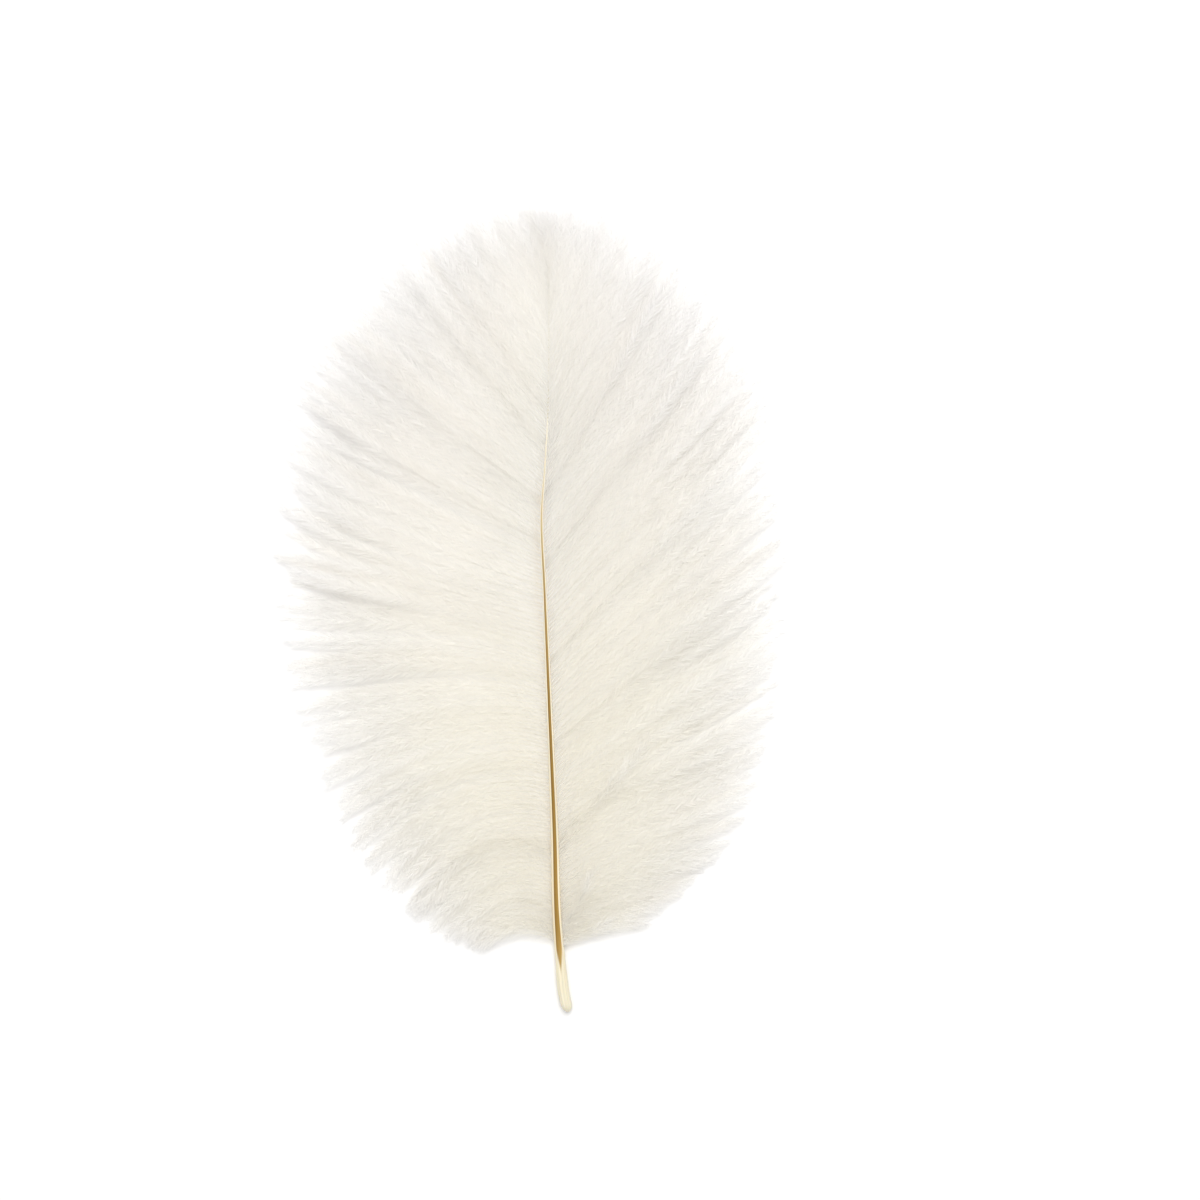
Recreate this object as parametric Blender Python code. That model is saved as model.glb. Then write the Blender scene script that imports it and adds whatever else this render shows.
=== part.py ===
"""Ostrich feather lying flat: one tapering horn shaft with a soft vane of barbs down each side.

Metres, +Z up. +Y runs from the quill to the feather's tip. The origin is on the surface that the
feather lies on, under the middle of its box.
"""

import math

import bmesh
import bpy
import numpy as np

MM = 0.001

# Driving dimensions
LENGTH = 152.4 * MM  # end of the quill to the tips of the top barbs
GAP = 0.3 * MM  # clearance between neighbouring pieces

# The shaft. Distances run up the feather from the end of the quill.
SHAFT_LENGTH = 140.5 * MM
ROUND_END = 1.7 * MM  # length of the quill's rounded end
GROOVE_FROM, GROOVE_TO = 7.5 * MM, 15.0 * MM  # where the round quill becomes the grooved rachis
GROOVE_DEPTH = 0.16  # as a share of the rachis's width
GROOVE_SPREAD = 0.27  # half-width of the groove, as a share of the rachis's width
SQUARENESS = 2.7  # superellipse exponent of the rachis's section; 2 is round
STATIONS = 56
RING_POINTS = 20

# How the shaft lies, in millimetres: (distance, sideways place) and (distance, height underneath).
SWAY = [(0, 6.75), (4, 5.9), (10, 5.3), (19, 4.65), (34, 4.25), (57, 3.3), (80, 2.35), (93, 1.8), (104, 2.5),
        (114, 3.0), (140.5, 3.2)]
LIFT = [(0, 0), (5, 0), (20, 0.8), (45, 2.0), (75, 2.7), (105, 2.6), (140.5, 1.6)]
# The shaft's width and height along it, in millimetres.
WIDE = [(0, 2.2), (5, 2.2), (10, 1.9), (20, 2), (35, 1.75), (55, 1.3), (80, 0.9), (110, 0.55), (140.5, 0.3)]
TALL = [(0, 2.2), (5, 2.2), (10, 1.95), (20, 2), (35, 1.8), (55, 1.45), (80, 1.05), (110, 0.65), (140.5, 0.3)]

# How the barbs of each vane run, lowest first: distance of the root up the shaft, place of the tip
# across and up the feather, all in millimetres, the angle in degrees at which the barb leaves the
# shaft, measured up from straight across, and the share of its length over which it turns.
LEFT_BARBS = [
    (13.6, -9.0, 11.9, 35, 0.55), (21, -19.5, 16.5, 26, 0.50), (35, -32.5, 31.5, 24, 0.40),
    (56, -42.3, 57.5, 24, 0.30), (71, -46.2, 80, 28, 0.30), (82, -45.4, 106, 34, 0.40),
    (97, -35.5, 130, 42, 0.40), (115, -19.5, 145.5, 52, 0.40), (140.8, 2.9, 152.4, 88, 0.30),
]
RIGHT_BARBS = [
    (12.6, 21, 14.8, 36, 0.45), (24, 33.5, 28, 34, 0.30), (41, 43, 50, 38, 0.20),
    (63, 46.2, 83, 47, 0.20), (78, 45.2, 106, 50, 0.20), (98, 36.5, 129.5, 54, 0.25),
    (119, 20.5, 145.4, 64, 0.30), (140.8, 3.5, 152.4, 92, 0.30),
]

# The body of each vane
CROWN = 6.3 * MM  # the surface to the top of the fluff
CROWN_AT = 0.34  # how far out the fluff is deepest, as a share of a barb's length
SEAT = 0.72  # height at which the barbs leave the shaft, as a share of its thickness
RIM = 1.2 * MM  # height of the barb tips above the surface
UNDERCUT = 1.6 * MM  # how far the rim overhangs the flat underside
THIN_TOWARD_TIP, THIN_TOWARD_QUILL = 0.52, 0.80  # share of the crown lost at either end of a vane
TUFTS = 17  # groups that the barb tips gather into down each side
TUFT_NOTCH = 1.9 * MM  # how far the outline dips in between two tufts, at most
TUFT_VALLEY = 0.25  # share of the height lost between two tufts, at most
UNEVEN = 0.5  # how much the tufts differ in width and depth, from 0 to 1
ROWS, ACROSS = 115, 10  # facets of a vane


def along(stations, distance):
    """A smooth curve through (distance, value) pairs given in millimetres, read in metres."""
    at, value = (np.array(column, float) * MM for column in zip(*stations))
    return smooth(at, value, distance)


def smooth(at, value, wanted):
    """Smooth interpolation that never overshoots a flat stretch of the values."""
    rise = np.diff(value) / np.diff(at)
    inner = np.where(rise[1:] * rise[:-1] > 0, (rise[1:] + rise[:-1]) / 2, 0)
    slope = np.concatenate([rise[:1], inner, rise[-1:]])
    i = np.clip(np.searchsorted(at, wanted) - 1, 0, len(at) - 2)
    step = at[i + 1] - at[i]
    t = np.clip((wanted - at[i]) / step, 0.0, 1.0)
    ease, rest = t * t * (3 - 2 * t), t * (1 - t)
    return (1 - ease) * value[i] + ease * value[i + 1] + rest * step * ((1 - t) * slope[i] - t * slope[i + 1])


def plain_material(name, colour, roughness):
    material = bpy.data.materials.new(name)
    material.use_nodes = True
    shader = material.node_tree.nodes["Principled BSDF"]
    shader.inputs["Base Color"].default_value = (*colour, 1.0)
    shader.inputs["Roughness"].default_value = roughness
    shader.inputs["Metallic"].default_value = 0.0
    return material


def new_object(name, bm, collection, material):
    mesh = bpy.data.meshes.new(name)
    bmesh.ops.recalc_face_normals(bm, faces=bm.faces)
    for face in bm.faces:
        face.smooth = True
    bm.to_mesh(mesh)
    bm.free()
    mesh.materials.append(material)
    obj = bpy.data.objects.new(name, mesh)
    obj.location.y = -LENGTH / 2  # the mesh starts at the end of the quill, and the frame in the middle
    collection.objects.link(obj)
    return obj


def bridge(bm, lower, upper, closed):
    """Faces between two rows of vertices of the same length."""
    for i in range(len(lower) - (0 if closed else 1)):
        j = (i + 1) % len(lower)
        bm.faces.new((lower[i], lower[j], upper[j], upper[i]))


def shaft_section(distance):
    """One ring of the shaft as x and z values: a circle on the quill, and on the rachis a
    rounded square with a shallow groove along its upper face."""
    rachis = np.clip((distance - GROOVE_FROM) / (GROOVE_TO - GROOVE_FROM), 0.0, 1.0)
    power = 2 / (2 + rachis * (SQUARENESS - 2))
    end = max(0.0, 1 - distance / ROUND_END)
    blunt = max(0.12, math.sqrt(1 - end * end))
    wide, tall = along(WIDE, distance), along(TALL, distance)
    turn = np.arange(RING_POINTS) * 2 * math.pi / RING_POINTS
    x = np.sign(np.cos(turn)) * np.abs(np.cos(turn)) ** power / 2
    z = np.sign(np.sin(turn)) * np.abs(np.sin(turn)) ** power / 2
    z -= rachis * GROOVE_DEPTH * np.exp(-((x / GROOVE_SPREAD) ** 2)) * (z > 0.1)
    return x * wide * blunt, z * tall * blunt + tall / 2


def build_shaft(collection):
    """The quill and the rachis, which are one piece of horn, lofted through rings that stand across Y."""
    bm = bmesh.new()
    rounded = ROUND_END * (1 - np.cos(np.linspace(0, math.pi / 2, 7)))
    rest = np.linspace(ROUND_END, SHAFT_LENGTH, STATIONS)[1:]
    rings = []
    for distance in np.concatenate([rounded, rest]):
        x, z = shaft_section(distance)
        x, z = x + along(SWAY, distance), z + along(LIFT, distance)
        rings.append([bm.verts.new((a, distance, b)) for a, b in zip(x, z)])
    for lower, upper in zip(rings, rings[1:]):
        bridge(bm, lower, upper, closed=True)
    bm.faces.new(rings[0])
    bm.faces.new(rings[-1])
    return new_object("shaft", bm, collection, plain_material("shaft_horn", (0.42, 0.25, 0.06), 0.35))


def barb_rows(table, side):
    """Roots, tips and turning points of ROWS + 1 barbs spread evenly along the vane's outline."""
    root, across, up, angle, turn = (np.array(column, float) for column in zip(*table))
    outline = np.concatenate([[0], np.cumsum(np.hypot(np.diff(across), np.diff(up)))])
    wanted = np.linspace(0, outline[-1], ROWS + 1)
    root, across, up = (smooth(outline, column, wanted) * MM for column in (root, across, up))
    angle, turn = np.radians(smooth(outline, angle, wanted)), smooth(outline, turn, wanted)
    roots = np.stack([along(SWAY, root) + side * (along(WIDE, root) / 2 + GAP), root], axis=1)
    tips = np.stack([across, up], axis=1)
    length = np.linalg.norm(tips - roots, axis=1)
    heading = np.stack([side * np.cos(angle), np.sin(angle)], axis=1)
    return roots, roots + heading * (length * turn)[:, None], tips


def fluff_height(out, root, dip):
    """Height of the fluff a share `out` of the way along a barb that leaves the shaft at `root`."""
    seat = along(LIFT, root) + SEAT * along(TALL, root)
    place = np.clip((root / MM - 12.6) / (140.8 - 12.6), 0, 1)
    crown = CROWN * (1 - THIN_TOWARD_TIP * place**3 - THIN_TOWARD_QUILL * (1 - place) ** 6)
    if out < CROWN_AT:
        return seat + (crown - seat) * math.sin(out / CROWN_AT * math.pi / 2)
    fall = (out - CROWN_AT) / (1 - CROWN_AT)
    return RIM + (crown - RIM) * math.sqrt(1 - fall**2.2) * (1 - TUFT_VALLEY * dip * min(1, 2 * fall))


def tuft_dips(seed):
    """How deep each barb lies between two tufts: 0 on the ridge of a tuft, up to 1 in a valley."""
    rng = np.random.default_rng(seed)
    widths = 1 + UNEVEN * rng.uniform(-1, 1, TUFTS)
    valleys = np.concatenate([[0], np.cumsum(widths)]) / widths.sum() * ROWS
    depths = 1 - UNEVEN * rng.uniform(0, 1, TUFTS + 1)
    depths[0] = depths[-1] = 0
    row = np.arange(ROWS + 1)
    tuft = np.clip(np.searchsorted(valleys, row, side="right") - 1, 0, TUFTS - 1)
    place = (row - valleys[tuft]) / (valleys[tuft + 1] - valleys[tuft])
    depth = np.where(place < 0.5, depths[tuft], depths[tuft + 1])
    return depth * np.cos(math.pi * place) ** 2


def build_vane(name, side, table, collection, material):
    """The mass of barbs on one side: a low body with a flat underside, lofted barb by barb."""
    bm = bmesh.new()
    roots, turns, tips = barb_rows(table, side)
    floors, tops = [], []
    for dip, root, turn, tip in zip(tuft_dips(20 + side), roots, turns, tips):
        end = 1 - dip * TUFT_NOTCH / np.linalg.norm(tip - root)
        heel = end - UNDERCUT / np.linalg.norm(tip - root)

        def spot(t, z):
            return bm.verts.new((*((1 - t) ** 2 * root + 2 * t * (1 - t) * turn + t * t * tip), z))

        shares = 1 - (1 - np.linspace(0, 1, ACROSS + 1)) ** 1.25
        edge = len(floors) in (0, ROWS)
        floors.append([spot(heel * share, 0) for share in (shares if edge else (0, 1))])
        tops.append([spot(end * share, fluff_height(share, root[1], dip)) for share in shares])
    for lower, upper in zip(tops, tops[1:]):
        bridge(bm, lower, upper, closed=False)
    for i in (0, -1):
        bridge(bm, [row[i] for row in floors], [row[i] for row in tops], closed=False)
        bridge(bm, floors[i], tops[i], closed=False)
    feet, heels = [row[0] for row in floors[1:-1]], [row[-1] for row in floors[1:-1]]
    bm.faces.new(floors[0] + heels + floors[-1][::-1] + feet[::-1])
    return new_object(name, bm, collection, material)


def main():
    for obj in list(bpy.data.objects):
        bpy.data.objects.remove(obj)
    feather = bpy.data.collections.new("ostrich_feather")
    bpy.context.scene.collection.children.link(feather)
    build_shaft(feather)
    left, right = (plain_material("barbs_" + word, (0.84, 0.80, 0.70), 0.9) for word in ("left", "right"))
    build_vane("vane_left", -1, LEFT_BARBS, feather, left)
    build_vane("vane_right", 1, RIGHT_BARBS, feather, right)


main()
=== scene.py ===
import math

import bpy
import numpy as np
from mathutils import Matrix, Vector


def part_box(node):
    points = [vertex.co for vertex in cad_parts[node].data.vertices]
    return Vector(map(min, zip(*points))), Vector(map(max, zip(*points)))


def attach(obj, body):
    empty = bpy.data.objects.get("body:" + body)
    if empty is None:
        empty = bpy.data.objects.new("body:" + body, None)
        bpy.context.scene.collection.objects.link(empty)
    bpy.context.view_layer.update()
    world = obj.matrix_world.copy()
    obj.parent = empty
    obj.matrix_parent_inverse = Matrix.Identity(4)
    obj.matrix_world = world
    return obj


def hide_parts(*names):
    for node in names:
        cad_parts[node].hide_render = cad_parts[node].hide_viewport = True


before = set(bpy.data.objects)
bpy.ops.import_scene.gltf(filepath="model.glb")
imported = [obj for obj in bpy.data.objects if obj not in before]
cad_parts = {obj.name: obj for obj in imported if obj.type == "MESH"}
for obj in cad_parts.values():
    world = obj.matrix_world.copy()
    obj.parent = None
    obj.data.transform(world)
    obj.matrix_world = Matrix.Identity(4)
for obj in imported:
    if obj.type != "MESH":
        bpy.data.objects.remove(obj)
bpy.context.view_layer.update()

# A small ostrich plume lying on a white table: a horn shaft, and a loose vane of barbs down each
# side. Every barb is a thin stem with its own barbules, built as plain meshes from arrays.
# Distances run up the feather from the end of the quill. A figure is in metres where it carries
# MM, and the tables of barbs and locks are in millimetres.

MM = 0.001
QUILL_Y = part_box("shaft")[0][1]
LEFT, RIGHT = -1, 1
SEED = 31
UP = np.array([0, 0, 1.0])
FEATHER_LENGTH = 152.4 * MM

# How the barbs of each vane run, lowest first: root up the shaft, tip across, tip up the feather,
# angle at which the barb leaves the shaft, and the share of its length over which it turns.
LEFT_BARBS = [
    (13.6, -9.0, 11.9, 30, 0.60), (27, -19.5, 16.5, 18, 0.55), (45, -32.5, 31.5, 16, 0.45),
    (60, -42.6, 58, 18, 0.35), (68, -46.0, 75, 20, 0.40), (73, -46.6, 86, 16, 0.50),
    (78, -45.8, 97, 16, 0.62), (86, -44.8, 109, 24, 0.55), (97, -37.6, 127, 36, 0.50),
    (106, -28.5, 138.5, 46, 0.50), (116, -19.0, 146.8, 54, 0.45), (127, -9.0, 151, 68, 0.40),
    (140.8, 4.0, 151.2, 84, 0.30),
]
RIGHT_BARBS = [
    (12.6, 20.5, 16.0, 36, 0.45), (17, 33.5, 28.5, 38, 0.35), (30, 43.0, 50, 42, 0.25),
    (45, 46.0, 72, 45, 0.22), (55, 46.4, 86, 46, 0.22), (64, 45.4, 102, 48, 0.30),
    (74, 43.0, 116, 50, 0.40), (85, 38.0, 128, 52, 0.45), (98, 30.5, 138.5, 56, 0.45),
    (109, 21.5, 145.5, 62, 0.45), (120, 14.0, 149.8, 66, 0.40), (131, 7.5, 151.6, 76, 0.35),
    (140.8, -3.0, 150.8, 99, 0.30),
]
# Loose locks lying over the vane: the same five figures, then how many barbs and how high above it.
LEFT_LOCKS = [
    (89, -42.5, 116, 28, 0.5, 2, 0.05), (97, -37, 127, 36, 0.5, 3, 0.05),
    (107, -25.5, 140.5, 48, 0.5, 3, 0.05), (113, -19, 145, 52, 0.5, 2, 0.05),
    (31, -22.8, 20.6, 18, 0.5, 3, 0), (134, -2.5, 150.4, 76, 0.4, 2, 0),
]
RIGHT_LOCKS = [
    (12.9, 15.0, 17.4, 24, 0.5, 4, 0.3), (16.0, 11.8, 28, 48, 0.5, 4, 0.2),
    (31, 22.5, 54, 42, 0.5, 2, 0.1), (33, 19.5, 50, 40, 0.5, 2, 0.1),
    (50, 41, 80, 44, 0.3, 2, 0.08), (66, 40.5, 105, 48, 0.35, 2, 0.08),
    (84, 34, 127, 52, 0.45, 3, 0.1), (97, 25, 138, 56, 0.45, 3, 0.08),
]

# Roots. BARB_SPACING, CROWDED, ROOTS and MEET_AT are millimetres up the shaft.
BARB_SPACING = 0.72
CROWDED = (15, 24)  # the barbs stand closer below the first, and at full spacing above the second
ROOTS = (12.6, 140.8)  # the lowest and the highest
ROOT_OUT = {LEFT: 0.34, RIGHT: 0.38}  # from the middle of the shaft, as a share of its width
ROOT_UP = {LEFT: 0.68, RIGHT: 0.84}  # above its underside, as a share of its height
MEET_AT = (108, 119)  # from here up the barbs of both sides rise onto the shaft and hide it
CROSS_OVER = 0.8  # how far those roots move over it, as a share of its width
BARE_ROOT = 1.6 * MM  # how far the roots on the right stand clear of barbules

# How far a barb strays from the tables
ROOT_STRAY = 0.1
LENGTH_STRAY, SHORTEST, LONGEST = 0.035, -0.09, 0.045  # shares of its length
ANGLE_STRAY = 1.5  # degrees
LOCK_STRAY = np.array([0.5, 0.45, 0.45, 2, 0.03])  # for each of a lock's five figures
LOCK_ROOM = 0.35 * MM  # width of vane that one barb of a lock covers

# Neighbouring barbs bunch into tufts, and separately into twos and threes, called pairs here
TUFT_SIZE, PAIR_SIZE = (3, 8), (2, 3)
PARTS_AT = {LEFT: (0.4, 0.7), RIGHT: (0.32, 0.68)}  # share of the barb's length
TUFT_SWAY, PAIR_SWAY, BARB_SWAY = 0.45 * MM, 0.42 * MM, 0.35 * MM
TUFT_PULL, PAIR_PULL = 0.18, 0.38  # the most that barbs close up, as a share

# How high a barb rides, as a share of the height of the fluff
LEVEL = 0.66
TUFT_LEVELS, TUFT_MIDDLE = (0.32, 0.95), 0.6
PAIR_LEVEL = 0.14
BARB_LEVELS = (-0.2, 0.1)

# Heights above the table
CROWN = 5.6 * MM  # the highest that the top of the stems reaches
CROWN_AT = 0.32  # share of a barb's length from which the fluff falls away
TIP_HEIGHT = 1.3 * MM  # what the fluff falls toward at the tips
LOWEST = 0.08 * MM  # a barbule's corner lies no lower

# Stems and barbules
STEM_WIDE, STEM_FINE = 0.13 * MM, 0.022 * MM  # radius of a barb's stem at the shaft and at its tip
STEM_STEPS, STEM_CORNERS = 18, 3
THINNER_STEMS = (108 * MM, 132 * MM)  # the roots between which stems lose most of their thickness
BLADES_PER_MM2 = 24.0
BLADE_CORNERS = 5
NARROWEST, WIDEST = 0.07 * MM, 1.5 * MM  # limits on the width of vane that one barb covers
BARBULE_LENGTH = 4.2 * MM
BARBULE_WIDTH = 0.048 * MM
INNER, OUTER = 0.42, 0.58  # shares of a barbule before and after its bend
OPEN_ANGLE, CLOSE_ANGLE = (40, 6), (17, 7)  # degrees from the barb before and after it
ROLL = 0.62  # spread of the barbules about their barb, in radians
DROOP = 0.12
SHAFT_EDGE = 0.44  # barbules keep this far from the shaft's middle, as a share of its width
EDGE_GAP = 0.06 * MM  # and this much further

# The shaft
SHAFT_AROUND, SHAFT_STEPS = 40, 300
END_LENGTH, END_STEPS = 1.7 * MM, 14  # the rounded end of the quill
SHAFT_WIDTHS = ((-0.16, 10, 22), (0.08, 35, 70), (-0.42, 88, 118))  # change, from, to (mm)
GROOVE_DEPTH = 0.17

# The stage, in metres
TABLE_REACH = 3.0
SKY_COLOUR, SKY_STRENGTH = (0.985, 0.982, 0.99, 1), 0.655
LAMPS = (  # name, place, size and power
    ("soft_key", (0.08, 0.30, 0.62), 0.4, 2.6),
    ("soft_fill", (-0.12, 0.05, 0.65), 0.5, 0.97),
)
LAMP_COLOUR = (1, 0.985, 0.96)
LENS, SENSOR = 100.0, 36.0  # these two in millimetres
VIEW_WIDTH = 0.2270
CAMERA_X, CAMERA_Y = 0.0128, 0.0016


# ---------------------------------------------------------------- curves

def smooth(at, value, wanted):
    """Smooth interpolation that never overshoots a flat stretch of the values."""
    at, value = np.asarray(at, float), np.asarray(value, float)
    rise = np.diff(value) / np.diff(at)
    inner = np.where(rise[1:] * rise[:-1] > 0, (rise[1:] + rise[:-1]) / 2, 0)
    slope = np.concatenate([rise[:1], inner, rise[-1:]])
    i = np.clip(np.searchsorted(at, wanted) - 1, 0, len(at) - 2)
    step = at[i + 1] - at[i]
    t = np.clip((wanted - at[i]) / step, 0.0, 1.0)
    ease, rest = t * t * (3 - 2 * t), t * (1 - t)
    between = (1 - ease) * value[i] + ease * value[i + 1]
    return between + rest * step * ((1 - t) * slope[i] - t * slope[i + 1])


def ramp(value, low, high):
    """0 below low, 1 above high, and an eased slope between."""
    t = np.clip((value - low) / (high - low), 0.0, 1.0)
    return t * t * (3 - 2 * t)


def unit(vectors):
    return vectors / np.maximum(np.linalg.norm(vectors, axis=-1, keepdims=True), 1e-12)


def shaft_stations():
    """Each ring of the shaft's solid: distance, middle, width, underside and height."""
    co = np.array([v.co for v in bpy.data.objects["shaft"].data.vertices])
    rows = []
    for y in np.unique(np.round(co[:, 1], 5)):
        ring = co[np.abs(co[:, 1] - y) < 2e-5]
        low, high = ring.min(axis=0), ring.max(axis=0)
        middle, size = (low[0] + high[0]) / 2, high - low
        rows.append((y - QUILL_Y, middle, size[0], low[2], size[2]))
    return np.array(rows).T


STATION, MIDDLE, WIDE, UNDER, TALL = shaft_stations()
SHAFT_LENGTH = STATION[-1]


def shaft_at(distance, column):
    return smooth(STATION, column, distance)


def root_height(side, root):
    return shaft_at(root, UNDER) + ROOT_UP[side] * shaft_at(root, TALL)


# ---------------------------------------------------------------- barbs

def groups(count, low, high, rng):
    """Numbers neighbouring barbs into groups of low to high members."""
    ids, group = [], 0
    while len(ids) < count:
        ids += [group] * int(rng.integers(low, high + 1))
        group += 1
    return np.array(ids[:count])


def gather(paths, ids, pull):
    """Draws each barb toward the middle of its group, by a share given at every step."""
    middle = np.stack([paths[ids == k].mean(axis=0) for k in range(ids.max() + 1)])
    return paths + pull[..., None] * (middle[ids] - paths)


def room_between(flat, neighbours=5):
    """Width of vane each barb has to cover, square to it, averaged with its neighbours."""
    along = unit(np.gradient(flat, axis=1))
    apart = np.gradient(flat, axis=0)
    gap = np.abs(apart[..., 0] * along[..., 1] - apart[..., 1] * along[..., 0])
    pad = np.pad(gap, ((neighbours, neighbours), (0, 0)), mode="edge")
    return np.mean([pad[k:k + len(gap)] for k in range(2 * neighbours + 1)], axis=0)


def fluff_top(t, root):
    """Height of the highest stems, a share t of the way along a barb with the given root."""
    place = np.clip((root / MM - ROOTS[0]) / (ROOTS[1] - ROOTS[0]), 0, 1)
    crown = CROWN * (1 - 0.45 * place**3 - 0.55 * (1 - place) ** 8)
    fall = np.clip((t - CROWN_AT) / (1 - CROWN_AT), 0, 1)
    return TIP_HEIGHT + (crown - TIP_HEIGHT) * np.sqrt(1 - 0.97 * fall**2.2)


def run_of_barbs(side, rows, t):
    """Plan view of barbs from rows of root, tip across, tip up, leaving angle and share of turn."""
    root, across, up, angle, turn = np.asarray(rows, float).T
    distance = root * MM
    hold = ROOT_OUT[side] - CROSS_OVER * ramp(root, *MEET_AT)
    start_x = shaft_at(distance, MIDDLE) + side * hold * shaft_at(distance, WIDE)
    start = np.stack([start_x, distance], axis=1)
    tip = np.stack([across, up], axis=1) * MM
    length = np.linalg.norm(tip - start, axis=1)
    heading = np.stack([side * np.cos(np.radians(angle)), np.sin(np.radians(angle))], axis=1)
    middle = start + heading * (length * turn)[:, None]
    b = t[None, :, None]
    return (1 - b) ** 2 * start[:, None] + 2 * b * (1 - b) * middle[:, None] + b * b * tip[:, None]


def barb_rows(table, rng):
    """A row for every barb of a vane, read off its table with a little stray."""
    known = np.array(table, float)
    root = [known[0, 0]]
    while root[-1] < known[-1, 0] - BARB_SPACING:
        root.append(root[-1] + BARB_SPACING * (0.45 + 0.55 * ramp(root[-1], *CROWDED)))
    n = len(root)
    root = np.array(root) + rng.uniform(-ROOT_STRAY, ROOT_STRAY, n)
    read = [smooth(known[:, 0], known[:, k], root) for k in range(1, 5)]
    rows = np.stack([root] + read, axis=1)
    foot = shaft_at(root * MM, MIDDLE) / MM
    reach = 1 + np.clip(rng.normal(0.0, LENGTH_STRAY, n), SHORTEST, LONGEST)
    rows[:, 1] = foot + (rows[:, 1] - foot) * reach
    rows[:, 2] = root + (rows[:, 2] - root) * reach
    rows[:, 3] += rng.normal(0, ANGLE_STRAY, n)
    return rows


def bunch(flat, side, t, rng):
    """Sways barbs and closes them up in tufts and pairs. Also gives each its wave and its level."""
    n = len(flat)
    across = unit(np.gradient(flat, axis=1))[..., ::-1] * np.array([-1, 1])
    tufts, pairs = groups(n, *TUFT_SIZE, rng), groups(n, *PAIR_SIZE, rng)
    some, few = tufts.max() + 1, pairs.max() + 1
    begin = rng.uniform(*PARTS_AT[side], some)[tufts][:, None]
    parted = ramp(t[None], begin, begin + 0.3)
    paired = ramp(t[None], begin * 0.6 + 0.2, 1.0)
    wave = rng.uniform(0, 2 * math.pi, n)[:, None] + t[None] * rng.uniform(4, 9, n)[:, None]

    def by_tuft(low, high):
        return rng.uniform(low, high, some)[tufts][:, None]

    def by_pair(low, high):
        return rng.uniform(low, high, few)[pairs][:, None]

    sway = by_tuft(-TUFT_SWAY, TUFT_SWAY) * parted
    sway = sway + by_pair(-PAIR_SWAY, PAIR_SWAY) * paired
    sway = sway + rng.normal(0, BARB_SWAY, n)[:, None] * t[None] ** 0.5
    sway = sway + BARB_SWAY * np.sin(wave) * t[None]
    flat = flat + across * sway[..., None]
    flat = gather(flat, tufts, by_tuft(0.0, TUFT_PULL) * parted)
    flat = gather(flat, pairs, by_pair(0.0, PAIR_PULL) * paired)
    level = LEVEL + (by_tuft(*TUFT_LEVELS) - TUFT_MIDDLE) * parted
    level = level + by_pair(-PAIR_LEVEL, PAIR_LEVEL) * paired
    level = level + rng.uniform(*BARB_LEVELS, n)[:, None]
    return flat, wave, level


def heights(side, root, level, wave, t):
    """Height of every barb at every step: seated on the shaft, then up into the fluff."""
    seat = root_height(side, root)
    above = np.maximum(0.8 * fluff_top(CROWN_AT, root) - seat, 0.5 * shaft_at(root, TALL))
    seat = seat + ramp(root / MM, *MEET_AT) * above
    height = fluff_top(t[None], root[:, None]) * (0.18 + 0.82 * np.clip(level, 0.1, 1.3))
    lift = ramp(t, 0.0, 0.28)[None]
    z = seat[:, None] * (1 - lift) + height * lift
    return np.maximum(z + 0.25 * MM * np.sin(wave * 1.3) * t[None], 3 * LOWEST)


def barb_paths(side, table, locks, rng):
    """Points along every barb of one vane, from the shaft out: (barbs, steps, 3)."""
    rows = barb_rows(table, rng)
    root, n = rows[:, 0], len(rows)
    t = np.linspace(0, 1, STEM_STEPS)
    flat = run_of_barbs(side, rows, t)
    room = room_between(flat)
    flat, wave, level = bunch(flat, side, t, rng)

    for *line, count, lift in locks:
        shape = (count, len(t))
        more = np.array([line] * count, float) + rng.normal(0, 1, (count, 5)) * LOCK_STRAY
        more[:, 0] = np.maximum(more[:, 0], table[0][0])
        rise = 0.62 + (0.38 + lift) * ramp(t, 0.4, 0.7)
        flat = np.concatenate([flat, run_of_barbs(side, more, t)])
        root = np.concatenate([root, more[:, 0]])
        level = np.concatenate([level, np.broadcast_to(rise, shape)])
        wave = np.concatenate([wave, np.broadcast_to(t * 5, shape)])
        room = np.concatenate([room, np.full(shape, LOCK_ROOM)])
    bold = (np.arange(len(root)) >= n).astype(float)
    root = root * MM
    z = heights(side, root, level, wave, t)
    paths = np.concatenate([flat, z[..., None]], axis=2)
    paths[..., 1] += QUILL_Y
    order = np.argsort(root)
    return paths[order], root[order], room[order], bold[order], t


def sample(paths, barb, place):
    """Point and direction on the given barbs at the given shares of their length."""
    steps = paths.shape[1] - 1
    x = np.clip(place, 0, 0.99999) * steps
    i = x.astype(int)
    f = (x - i)[:, None]
    a, b = paths[barb, i], paths[barb, i + 1]
    return a + (b - a) * f, unit(b - a)


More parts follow.
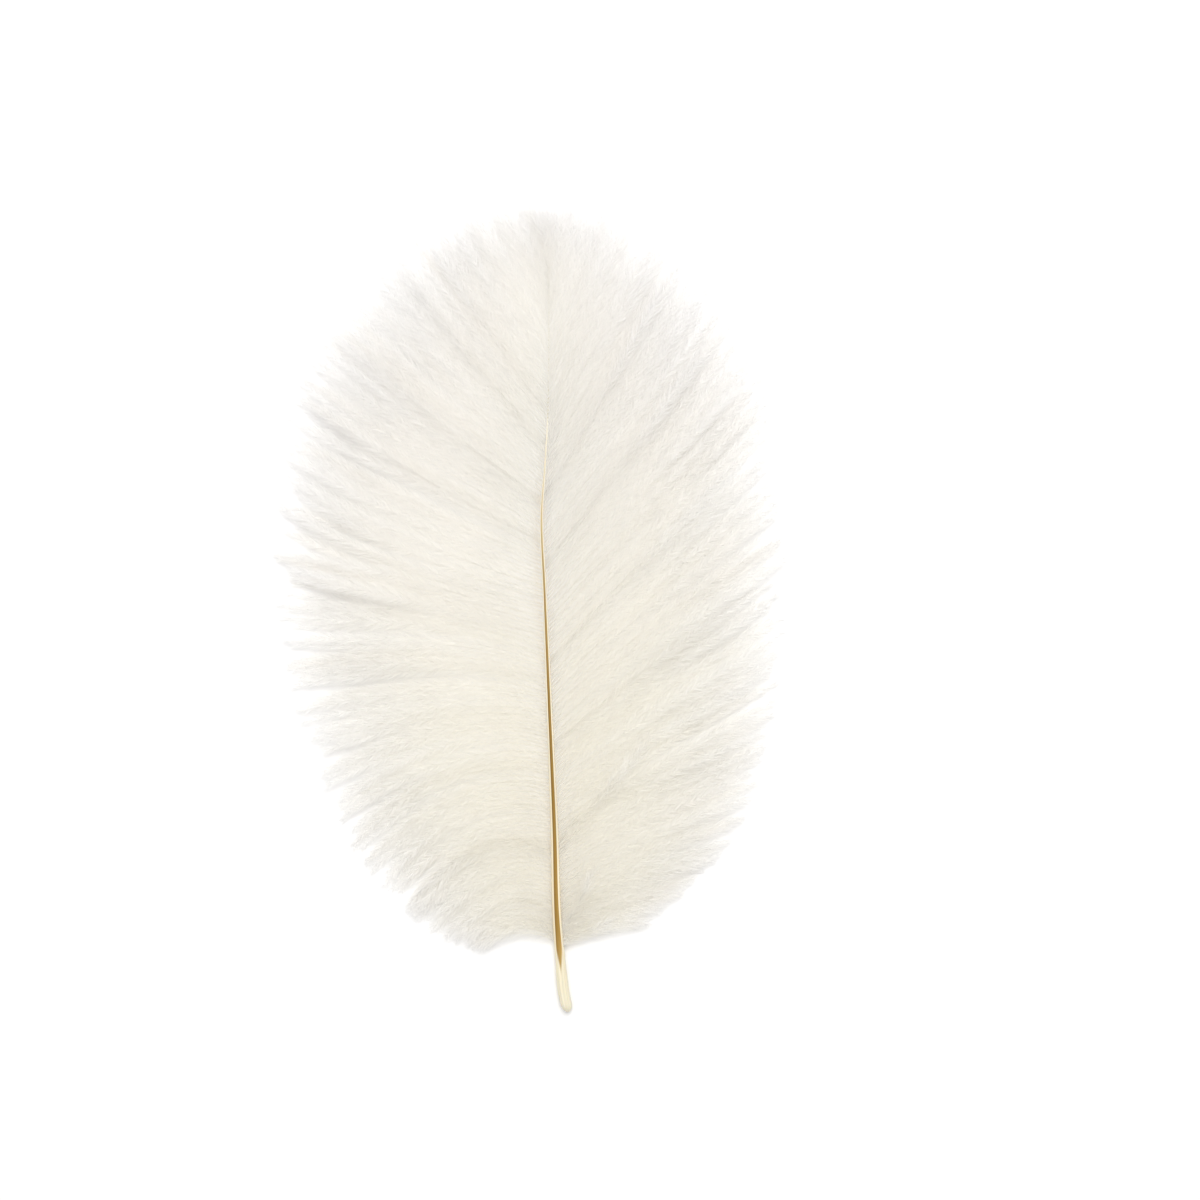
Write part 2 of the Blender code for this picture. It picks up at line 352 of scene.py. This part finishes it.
def stems(paths, root, t, bold):
    """Three-sided tapering tubes along the barbs, the bold ones staying thick for longer."""
    n, k, _ = paths.shape
    tangent = unit(np.gradient(paths, axis=1))
    side = unit(np.cross(tangent, UP))
    up = np.cross(side, tangent)
    stout = STEM_WIDE * (1 - 0.65 * ramp(root, *THINNER_STEMS))[:, None]
    radius = STEM_FINE + (stout - STEM_FINE) * (1 - t) ** (1.6 - 1.2 * bold[:, None])
    verts = []
    for corner in range(STEM_CORNERS):
        a = math.pi / 2 + corner * 2 * math.pi / STEM_CORNERS
        verts.append(paths + (side * math.cos(a) + up * math.sin(a)) * radius[..., None])
    verts = np.stack(verts, axis=2).reshape(-1, 3)
    base = (np.arange(n)[:, None] * k + np.arange(k - 1)[None]) * STEM_CORNERS
    quads = []
    for c in range(STEM_CORNERS):
        d = (c + 1) % STEM_CORNERS
        corners = [base + c, base + d, base + STEM_CORNERS + d, base + STEM_CORNERS + c]
        quads.append(np.stack(corners, axis=-1).reshape(-1, 4))
    shape = (n, k, STEM_CORNERS)
    out = np.broadcast_to(t[None, :, None], shape).reshape(-1)
    spread = np.broadcast_to(np.array([-0.04, 0.04, 0.0])[None, None], shape).reshape(-1)
    barb = np.repeat(np.arange(n), k * STEM_CORNERS)
    return verts, np.concatenate(quads), out, spread, barb


def blade_places(paths, room, t, rng):
    """Barb and share of its length for every blade, set evenly over the area the barbs cover."""
    piece = np.linalg.norm(np.diff(paths, axis=1), axis=2)
    width = np.clip((room[:, 1:] + room[:, :-1]) / 2, NARROWEST, WIDEST)
    middle = (t[1:] + t[:-1])[None] / 2
    fewer_at_root = 0.75 + 0.25 * ramp(middle, 0.0, 0.3)
    fewer_at_tip = 1.2 - 0.65 * ramp(middle, 0.86, 1.0)
    area = piece * width * fewer_at_root * fewer_at_tip
    total = np.cumsum(area.ravel())
    count = int(total[-1] / MM**2 * BLADES_PER_MM2)
    at = (np.arange(count) + rng.uniform(0, 1, count)) / count * total[-1]
    cell = np.minimum(np.searchsorted(total, at), len(total) - 1)
    share = 1 - (total[cell] - at) / area.ravel()[cell]
    steps = piece.shape[1]
    return cell // steps, (cell % steps + np.clip(share, 0, 1)) / steps


def barbules(paths, root, room, t, side, rng):
    """Fine curved blades on both sides of every barb: two pairs of corners and a point each."""
    barb, place = blade_places(paths, room, t, rng)
    m = len(barb)
    foot, tangent = sample(paths, barb, place)
    lateral = unit(np.cross(tangent, UP))
    over = np.cross(lateral, tangent)
    hand = np.where(np.arange(m) % 2 == 0, 1.0, -1.0)
    roll = rng.normal(0, ROLL, m)
    radial = lateral * (hand * np.cos(roll))[:, None] + over * np.sin(roll)[:, None]
    opened = np.radians(rng.normal(*OPEN_ANGLE, m) - 8 * place)
    closed = np.radians(rng.normal(*CLOSE_ANGLE, m) - 6 * place)
    shorter_at_root = 0.55 + 0.45 * ramp(place, 0, 0.12)
    shorter_at_tip = 1 - 0.45 * ramp(place, 0.75, 1.0)
    size = BARBULE_LENGTH * shorter_at_root * shorter_at_tip
    size = size * rng.uniform(0.55, 1.15, m)
    first = tangent * np.cos(opened)[:, None] + radial * np.sin(opened)[:, None]
    second = tangent * np.cos(closed)[:, None] + radial * np.sin(closed)[:, None]
    second[:, 2] -= DROOP
    mid = foot + first * (size * INNER)[:, None]
    end = mid + unit(second) * (size * OUTER)[:, None]
    flat = unit(np.cross(first, rng.normal(0, 1, (m, 3))))
    wider_outward = 0.85 + 0.75 * ramp(place, 0.3, 0.85)
    wide = BARBULE_WIDTH * rng.uniform(0.7, 1.2, m) / 2 * wider_outward
    at_foot, at_mid = flat * wide[:, None], flat * (wide * 0.8)[:, None]
    verts = np.stack([foot - at_foot, foot + at_foot, mid + at_mid, mid - at_mid, end], axis=1)
    verts[..., 2] = np.maximum(verts[..., 2], LOWEST * rng.uniform(1, 3, m)[:, None])
    keep = clear_of_shaft(verts, side, root_height(side, root)[barb], rng)
    verts, barb, place, hand = verts[keep], barb[keep], place[keep], hand[keep]
    out = np.repeat(place[:, None], BLADE_CORNERS, axis=1) + np.array([-1, 1, 1, -1, 0]) * 0.002
    spread = hand[:, None] * np.array([0.05, 0.05, 0.45, 0.45, 1.0])
    return verts, out, spread, barb


def clear_of_shaft(verts, side, seat, rng):
    """False for blades that would hide the shaft, or the bare roots of the barbs to its right."""
    distance = verts[..., 1] - QUILL_Y
    beside = (verts[..., 0] - shaft_at(distance, MIDDLE)) * side
    edge = SHAFT_EDGE * shaft_at(distance, WIDE)
    hides = ((beside < edge + EDGE_GAP) & (distance < SHAFT_LENGTH))[:, 2:].any(axis=1)
    end = distance[:, 4]
    chance = ramp(end, (MEET_AT[0] - 2) * MM, (MEET_AT[1] + 2) * MM)
    keep = ~hides | (rng.uniform(0, 1, len(verts)) < chance)
    if side == RIGHT:
        bare = (beside < edge + BARE_ROOT)[:, 2:].any(axis=1)
        bare &= verts[:, 2:, 2].max(axis=1) > seat - 0.3 * MM
        length = ramp(end, 24 * MM, 34 * MM) * (1 - ramp(end, 100 * MM, 120 * MM))
        keep &= ~bare | (rng.uniform(0, 1, len(verts)) > 0.92 * length)
    return keep


def set_values(mesh, values):
    """Gives every vertex the named values that the material reads."""
    for title, value in values.items():
        made = mesh.attributes.new(title, "FLOAT", "POINT")
        made.data.foreach_set("value", value.astype(np.float32))


def mesh_piece(name, parts, root, material):
    """One mesh from stems and blades."""
    (sv, quads, s_out, s_spread, s_barb), (bv, b_out, b_spread, b_barb) = parts
    m = len(bv)
    verts = np.concatenate([sv, bv.reshape(-1, 3)])
    base = len(sv) + np.arange(m) * BLADE_CORNERS
    blade_quads = np.stack([base, base + 1, base + 2, base + 3], axis=1)
    blade_tris = np.stack([base + 3, base + 2, base + 4], axis=1)
    all_quads = np.concatenate([quads, blade_quads])
    loops = np.concatenate([all_quads.ravel(), blade_tris.ravel()])
    totals = np.concatenate([np.full(len(all_quads), 4), np.full(m, 3)])
    starts = np.cumsum(totals) - totals
    mesh = bpy.data.meshes.new(name)
    mesh.vertices.add(len(verts))
    mesh.vertices.foreach_set("co", verts.astype(np.float32).ravel())
    mesh.loops.add(len(loops))
    mesh.loops.foreach_set("vertex_index", loops.astype(np.int32))
    mesh.polygons.add(len(starts))
    mesh.polygons.foreach_set("loop_start", starts.astype(np.int32))
    mesh.polygons.foreach_set("loop_total", totals.astype(np.int32))
    mesh.update(calc_edges=True)
    mesh.shade_smooth()

    out = np.clip(np.concatenate([s_out, b_out.ravel()]), 0, 1)
    spread = np.concatenate([s_spread, b_spread.ravel()])
    barb = np.concatenate([s_barb, np.repeat(b_barb, BLADE_CORNERS)])
    strand = (np.sin(barb * 12.9898) * 43758.5453) % 1.0  # a scattered number for each barb
    up_feather = np.interp(barb, np.arange(len(root)), root) / FEATHER_LENGTH
    set_values(mesh, {"out": out, "reach": np.abs(spread), "strand": strand,
                      "up_feather": up_feather})
    column = (barb - barb.min() + 0.5 + 0.45 * spread) / (barb.max() - barb.min() + 1)
    uv = np.stack([column, out], axis=1)
    layer = mesh.uv_layers.new(name="OFBake")
    layer.data.foreach_set("uv", uv[loops].astype(np.float32).ravel())
    mesh.materials.append(material)
    obj = bpy.data.objects.new(name, mesh)
    bpy.context.scene.collection.objects.link(obj)
    return obj


def build_vane(side, word, table, locks, material):
    """One vane, cut between barbs into three meshes that cover about the same area."""
    rng = np.random.default_rng(SEED + side)
    paths, root, room, bold, t = barb_paths(side, table, locks, rng)
    span = np.linalg.norm(paths[:, -1] - paths[:, 0], axis=1)
    area = (span * np.clip(room.mean(axis=1), 0.3 * MM, WIDEST)).cumsum()
    thirds = np.searchsorted(area, [area[-1] / 3, area[-1] * 2 / 3]).tolist()
    cuts = [0] + thirds + [len(paths)]
    for low, high, part in zip(cuts, cuts[1:], ("lower", "middle", "upper")):
        some, roots = paths[low:high], root[low:high]
        stem_parts = stems(some, roots, t, bold[low:high])
        blade_parts = barbules(some, roots, room[low:high], t, side, rng)
        obj = mesh_piece(f"barbs_{word}_{part}", (stem_parts, blade_parts), roots, material)
        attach(obj, "root")
        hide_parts("vane_" + word)


# ---------------------------------------------------------------- shaft

def shaft_rings(distance, turn):
    """Corners of every ring round the shaft, their place across it, and where they face up."""
    rachis = ramp(distance, 6.5 * MM, 15 * MM)[:, None]
    power = 2 / (2 + 0.7 * rachis)
    x = np.sign(np.cos(turn)) * np.abs(np.cos(turn)) ** power / 2
    z = np.sign(np.sin(turn)) * np.abs(np.sin(turn)) ** power / 2
    upper = ramp(z, 0.02, 0.2)
    z = z - rachis * upper * GROOVE_DEPTH * (1 - ramp(np.abs(x), 0.12, 0.36))
    ridges = 0.012 * np.sin(turn * 17)[None] * rachis + 0.006 * np.sin(turn * 9 + 1)[None]
    stout = 1
    for change, low, high in SHAFT_WIDTHS:
        stout = stout + change * ramp(distance, low * MM, high * MM)
    wide = (shaft_at(distance, WIDE) * stout)[:, None]
    tall = shaft_at(distance, TALL)[:, None]
    rings = np.stack([
        shaft_at(distance, MIDDLE)[:, None] + x * wide * (1 + ridges),
        np.broadcast_to((QUILL_Y + distance)[:, None], x.shape),
        shaft_at(distance, UNDER)[:, None] + np.clip((z + 0.5) * 1.06, 0, 1) * tall,
    ], axis=2)
    return rings, 2 * x, upper


def unwrap_shaft(mesh, around, n):
    """UVs for n rings and the two end points: round the shaft across, up the feather along."""
    layer = mesh.uv_layers.new(name="OFBake")
    pore = n * around
    for face in mesh.polygons:
        corners = [(v % around, min(v // around, n - 1) / (n - 1)) for v in face.vertices]
        wraps = max(c[0] for c in corners) - min(c[0] for c in corners) > around / 2
        for loop, vertex, (u, v) in zip(face.loop_indices, face.vertices, corners):
            if vertex >= pore:
                u, v = corners[0][0] + 0.5, -0.01 if vertex == pore else 1.01
            elif wraps and u == 0:
                u = around
            layer.data[loop].uv = (0.02 + 0.96 * u / around, 0.02 + 0.96 * v)


def build_shaft(material):
    """The horn shaft over its solid: a round quill, then a rachis grooved between two rims."""
    around = SHAFT_AROUND
    turn = np.arange(around) * 2 * math.pi / around
    end = END_LENGTH * (1 - np.cos(np.linspace(0, math.pi / 2, END_STEPS)))
    distance = np.concatenate([end, np.linspace(END_LENGTH, SHAFT_LENGTH, SHAFT_STEPS)[1:]])
    rings, across, upper = shaft_rings(distance, turn)
    n = len(distance)
    pore = rings[0].mean(axis=0) + np.array([0, 0.35 * MM, 0])
    point = rings[-1].mean(axis=0) + np.array([0, 0.1 * MM, 0])
    verts = np.concatenate([rings.reshape(-1, 3), [pore, point]])
    first = np.arange(n - 1)[:, None] * around
    i = (first + np.arange(around)[None]).ravel()
    j = (first + (np.arange(around)[None] + 1) % around).ravel()
    faces = np.stack([i, j, j + around, i + around], axis=1).tolist()
    last = (n - 1) * around
    for k in range(around):
        m = (k + 1) % around
        faces += [(m, k, n * around), (last + k, last + m, n * around + 1)]
    mesh = bpy.data.meshes.new("shaft_detail")
    mesh.from_pydata(verts.tolist(), [], faces)
    mesh.shade_smooth()
    along = np.broadcast_to((distance / SHAFT_LENGTH)[:, None], across.shape)
    reach = np.broadcast_to(turn[None] / (2 * math.pi), across.shape)
    values = {"across": across, "along": along, "upper": upper, "reach": reach}
    for title, value in values.items():
        ends = [value[0].mean(), value[-1].mean()]
        values[title] = np.concatenate([value.reshape(-1), ends])
    set_values(mesh, values)
    unwrap_shaft(mesh, around, n)
    mesh.materials.append(material)
    obj = bpy.data.objects.new("shaft_detail", mesh)
    bpy.context.scene.collection.objects.link(obj)
    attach(obj, "root")
    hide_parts("shaft")


# ---------------------------------------------------------------- materials

# Colours of the down from root to tip, low on the feather and high on it
DOWN_LOW = [
    (0.0, (0.984, 0.968, 0.916)), (0.5, (0.985, 0.974, 0.936)), (1.0, (0.986, 0.981, 0.971)),
]
DOWN_HIGH = [
    (0.0, (0.983, 0.973, 0.943)), (0.5, (0.985, 0.976, 0.958)), (1.0, (0.987, 0.985, 0.986)),
]
# colour of the barb roots by the shaft low on the feather, partly their own warmer tone and partly
# painted shade beside the shaft; then the darkest tone a barb takes at random
DOWN_ROOT_TONE_AND_SHADE, DOWN_DARKEST = (0.92, 0.87, 0.79), (0.965, 0.945, 0.91)
THROUGH = 0.45  # share of the light that passes through the down

# Colours of the horn from the end of the quill up, and the painted light and shade across its
# groove: painted shade on its left, a painted highlight on its right
HORN_AMBER = [
    (0.05, (0.52, 0.34, 0.085)), (0.12, (0.40, 0.235, 0.04)), (0.30, (0.32, 0.18, 0.02)),
    (0.44, (0.33, 0.195, 0.03)), (0.56, (0.41, 0.27, 0.08)), (0.66, (0.60, 0.47, 0.22)),
    (0.80, (0.88, 0.84, 0.68)),
]
HORN_CREAM = [
    (0.0, (0.86, 0.81, 0.63)), (0.06, (0.88, 0.81, 0.60)), (0.14, (0.93, 0.83, 0.61)),
    (0.5, (0.93, 0.86, 0.69)), (1.0, (0.97, 0.95, 0.88)),
]
GROOVE_LIGHT = [(0.2, (0.72, 0.66, 0.55)), (0.55, (1, 1, 1)), (0.8, (1.3, 1.3, 1.5))]


class Nodes:
    """Short words for adding nodes to one tree and joining them up."""

    def __init__(self, tree):
        self.tree = tree

    def add(self, kind, inputs=(), **settings):
        made = self.tree.nodes.new(kind)
        for key, value in settings.items():
            setattr(made, key, value)
        for key, value in dict(inputs).items():
            if isinstance(value, bpy.types.NodeSocket):
                self.tree.links.new(value, made.inputs[key])
            else:
                made.inputs[key].default_value = value
        return made

    def value(self, name):
        return self.add("ShaderNodeAttribute", attribute_name=name).outputs["Fac"]

    def math(self, operation, a, b=0.0, c=0.0):
        return self.add("ShaderNodeMath", {0: a, 1: b, 2: c}, operation=operation).outputs[0]

    def eased(self, value, low, high, start=0.0, end=1.0):
        sockets = {"Value": value, "From Min": low, "From Max": high, "To Min": start,
                   "To Max": end}
        return self.add("ShaderNodeMapRange", sockets, interpolation_type="SMOOTHSTEP").outputs[0]

    def grey(self, value):
        return self.add("ShaderNodeCombineColor", {0: value, 1: value, 2: value}).outputs[0]

    def ramp(self, value, stops):
        made = self.add("ShaderNodeValToRGB", {"Fac": value})
        ramp = made.color_ramp
        while len(ramp.elements) < len(stops):
            ramp.elements.new(0.5)
        for element, (position, colour) in zip(ramp.elements, stops):
            element.position, element.color = position, (*colour, 1)
        return made.outputs["Color"]

    def mix(self, factor, a, b, blend="MIX"):
        made = self.add("ShaderNodeMix", data_type="RGBA", blend_type=blend)
        for socket, value in ((made.inputs[0], factor), (made.inputs[6], a), (made.inputs[7], b)):
            if isinstance(value, bpy.types.NodeSocket):
                self.tree.links.new(value, socket)
            else:
                socket.default_value = value if isinstance(value, float) else (*value, 1)
        return made.outputs[2]


def fibre_grain_group():
    """Fine streaks that run along each strand, as a height and as a shade to multiply by: a streaky
    tone, with painted shade in the low hollows of the height.
    """
    group = bpy.data.node_groups.new("fibre_grain", "ShaderNodeTree")
    add_socket = group.interface.new_socket
    for name, default in (("Strand", 0.0), ("Along", 0.0), ("Fineness", 12.0), ("Depth", 0.1)):
        add_socket(name, in_out="INPUT", socket_type="NodeSocketFloat").default_value = default
    for name in ("Shade", "Height"):
        add_socket(name, in_out="OUTPUT", socket_type="NodeSocketFloat")
    n = Nodes(group)
    given = n.add("NodeGroupInput").outputs
    across = n.math("MULTIPLY", given["Strand"], 61.0)
    along = n.math("MULTIPLY", given["Along"], given["Fineness"])
    place = n.add("ShaderNodeCombineXYZ", {"X": across, "Y": along}).outputs[0]
    settings = {"Vector": place, "Scale": 1.0, "Detail": 3.0, "Roughness": 0.6}
    height = n.eased(n.add("ShaderNodeTexNoise", settings).outputs[0], 0.25, 0.75)
    # painted shade: the colour darkens where the height is low, in its hollows
    hollow = n.math("MULTIPLY", given["Depth"], n.math("SUBTRACT", 1.0, height))
    shade = n.math("SUBTRACT", 1.0, hollow)
    n.add("NodeGroupOutput", {"Shade": shade, "Height": height})
    return group


def grain(n, group, strand, along, fineness, depth):
    inputs = {"Strand": strand, "Along": along, "Fineness": fineness, "Depth": depth}
    made = n.add("ShaderNodeGroup", inputs, node_tree=group)
    return made.outputs["Shade"], made.outputs["Height"]


def new_material(name):
    material = bpy.data.materials.new(name)
    material.use_nodes = True
    return material, Nodes(material.node_tree), material.node_tree.nodes["Principled BSDF"]


def down_material(grain_group):
    """White down: cream by the shaft and low on the feather, clean white at the tips; the barb
    roots low on the feather are darker, partly their own tone and partly painted shade beside the
    shaft.
    """
    material, n, shader = new_material("ostrich_down")
    link = n.tree.links.new
    out, strand, up = n.value("out"), n.value("strand"), n.value("up_feather")
    low, high = n.ramp(out, DOWN_LOW), n.ramp(out, DOWN_HIGH)
    colour = n.mix(n.eased(up, 0.25, 0.65), low, high)
    # darker, warmer roots by the shaft, low on the feather: partly their own tone, partly painted
    # shade beside the shaft
    root_tone_and_shade, below_tip = n.eased(out, 0.0, 0.04, 0.6, 0.0), n.eased(up, 0.55, 0.75, 1.0, 0.0)
    colour = n.mix(n.math("MULTIPLY", root_tone_and_shade, below_tip), colour, DOWN_ROOT_TONE_AND_SHADE)
    colour = n.mix(n.eased(strand, 0.55, 1.0, 0.0, 0.25), colour, DOWN_DARKEST)
    shade, height = grain(n, grain_group, strand, out, 14.0, 0.025)
    # the grain's streaky tone, with painted shade in its low hollows
    colour = n.mix(1.0, colour, n.grey(shade), "MULTIPLY")
    link(colour, shader.inputs["Base Color"])
    link(n.eased(height, 0.0, 1.0, 0.8, 0.95), shader.inputs["Roughness"])
    shader.inputs["Specular IOR Level"].default_value = 0.2
    through = n.add("ShaderNodeBsdfTranslucent", {"Color": colour}).outputs[0]
    both = n.add("ShaderNodeMixShader", {0: THROUGH, 1: shader.outputs[0], 2: through})
    link(both.outputs[0], n.tree.nodes["Material Output"].inputs["Surface"])
    return material


def horn_material(grain_group):
    """Horn: a pale clear quill, then an amber stripe in the groove between two cream rims, with
    painted shade and a painted highlight across the stripe.
    """
    material, n, shader = new_material("feather_horn")
    link = n.tree.links.new
    across, along, upper = n.value("across"), n.value("along"), n.value("upper")
    shade, height = grain(n, grain_group, n.value("reach"), along, 9.0, 0.22)
    side = n.math("ABSOLUTE", n.math("ADD", across, 0.03))
    half = n.eased(along, 0.06, 0.18, 0.62, 0.50)
    uneven = n.math("MULTIPLY", n.math("SUBTRACT", 1.0, height), 0.05)
    half = n.math("SUBTRACT", half, uneven)
    stripe = n.eased(n.math("SUBTRACT", half, side), -0.06, 0.10)
    v_end = n.eased(n.math("SUBTRACT", along, n.math("MULTIPLY", side, 0.045)), 0.046, 0.066)
    stripe = n.math("MULTIPLY", n.math("MULTIPLY", stripe, v_end), upper)
    stripe = n.math("MULTIPLY", stripe, n.eased(along, 0.60, 0.95, 1.0, 0.35))
    amber = n.ramp(along, HORN_AMBER)
    # painted shade on the left of the groove and a painted highlight on its right, multiplied into
    # the amber
    painted_groove_light = n.ramp(n.math("MULTIPLY_ADD", across, 0.5, 0.5), GROOVE_LIGHT)
    amber = n.mix(1.0, amber, painted_groove_light, "MULTIPLY")
    cream = n.ramp(along, HORN_CREAM)
    colour = n.mix(stripe, cream, amber)
    # the grain's streaky tone, with painted shade in the low hollows of the height that also drives
    # the bump
    link(n.mix(1.0, colour, n.grey(shade), "MULTIPLY"), shader.inputs["Base Color"])
    link(n.eased(height, 0.0, 1.0, 0.24, 0.42), shader.inputs["Roughness"])
    bump = n.add("ShaderNodeBump", {"Height": height, "Strength": 0.25, "Distance": 0.00004})
    link(bump.outputs[0], shader.inputs["Normal"])
    shader.inputs["Subsurface Weight"].default_value = 0.25
    shader.inputs["Subsurface Radius"].default_value = (1.0, 0.7, 0.35)
    shader.inputs["Subsurface Scale"].default_value = 0.0006
    shader.inputs["Coat Weight"].default_value = 0.08
    shader.inputs["Specular IOR Level"].default_value = 0.35
    return material


def table_material():
    """A plain white board with a barely visible tooth."""
    material, n, shader = new_material("white_board")
    noise = n.add("ShaderNodeTexNoise", {"Scale": 900.0, "Detail": 2.0}).outputs[0]
    tone = n.eased(noise, 0.2, 0.8, 0.905, 0.925)
    n.tree.links.new(n.grey(tone), shader.inputs["Base Color"])
    shader.inputs["Roughness"].default_value = 0.9
    shader.inputs["Specular IOR Level"].default_value = 0.2
    return material


# ---------------------------------------------------------------- table, light and camera

def build_stage():
    """The white table, the sky, two soft lamps turned to the feather, and a camera looking down."""
    scene = bpy.context.scene
    mesh = bpy.data.meshes.new("white_table")
    square = ((-1, -1), (1, -1), (1, 1), (-1, 1))
    corners = [(x * TABLE_REACH, y * TABLE_REACH, 0) for x, y in square]
    mesh.from_pydata(corners, [], [(0, 1, 2, 3)])
    mesh.materials.append(table_material())
    table = bpy.data.objects.new("white_table", mesh)
    scene.collection.objects.link(table)

    world = bpy.data.worlds.new("studio")
    scene.world = world
    world.use_nodes = True
    background = world.node_tree.nodes["Background"]
    background.inputs["Color"].default_value = SKY_COLOUR
    background.inputs["Strength"].default_value = SKY_STRENGTH
    for name, place, size, power in LAMPS:
        light = bpy.data.lights.new(name, "AREA")
        light.size, light.energy, light.color = size, power, LAMP_COLOUR
        obj = bpy.data.objects.new(name, light)
        obj.location = place
        obj.rotation_euler = (math.acos(place[2] / np.linalg.norm(place)), 0,
                              math.atan2(place[1], place[0]) + math.pi / 2)
        scene.collection.objects.link(obj)

    camera = bpy.data.cameras.new("camera")
    camera.lens, camera.sensor_width = LENS, SENSOR
    camera.clip_start, camera.clip_end = 0.01, 20
    obj = bpy.data.objects.new("camera", camera)
    obj.location = (CAMERA_X, CAMERA_Y, VIEW_WIDTH * LENS / SENSOR)
    scene.collection.objects.link(obj)
    scene.camera = obj
    scene.view_settings.view_transform = "Standard"
    scene.cycles.diffuse_bounces = 10
    scene.cycles.max_bounces = 16


fibre_grain = fibre_grain_group()
down = down_material(fibre_grain)
build_shaft(horn_material(fibre_grain))
build_vane(LEFT, "left", LEFT_BARBS, LEFT_LOCKS, down)
build_vane(RIGHT, "right", RIGHT_BARBS, RIGHT_LOCKS, down)
build_stage()
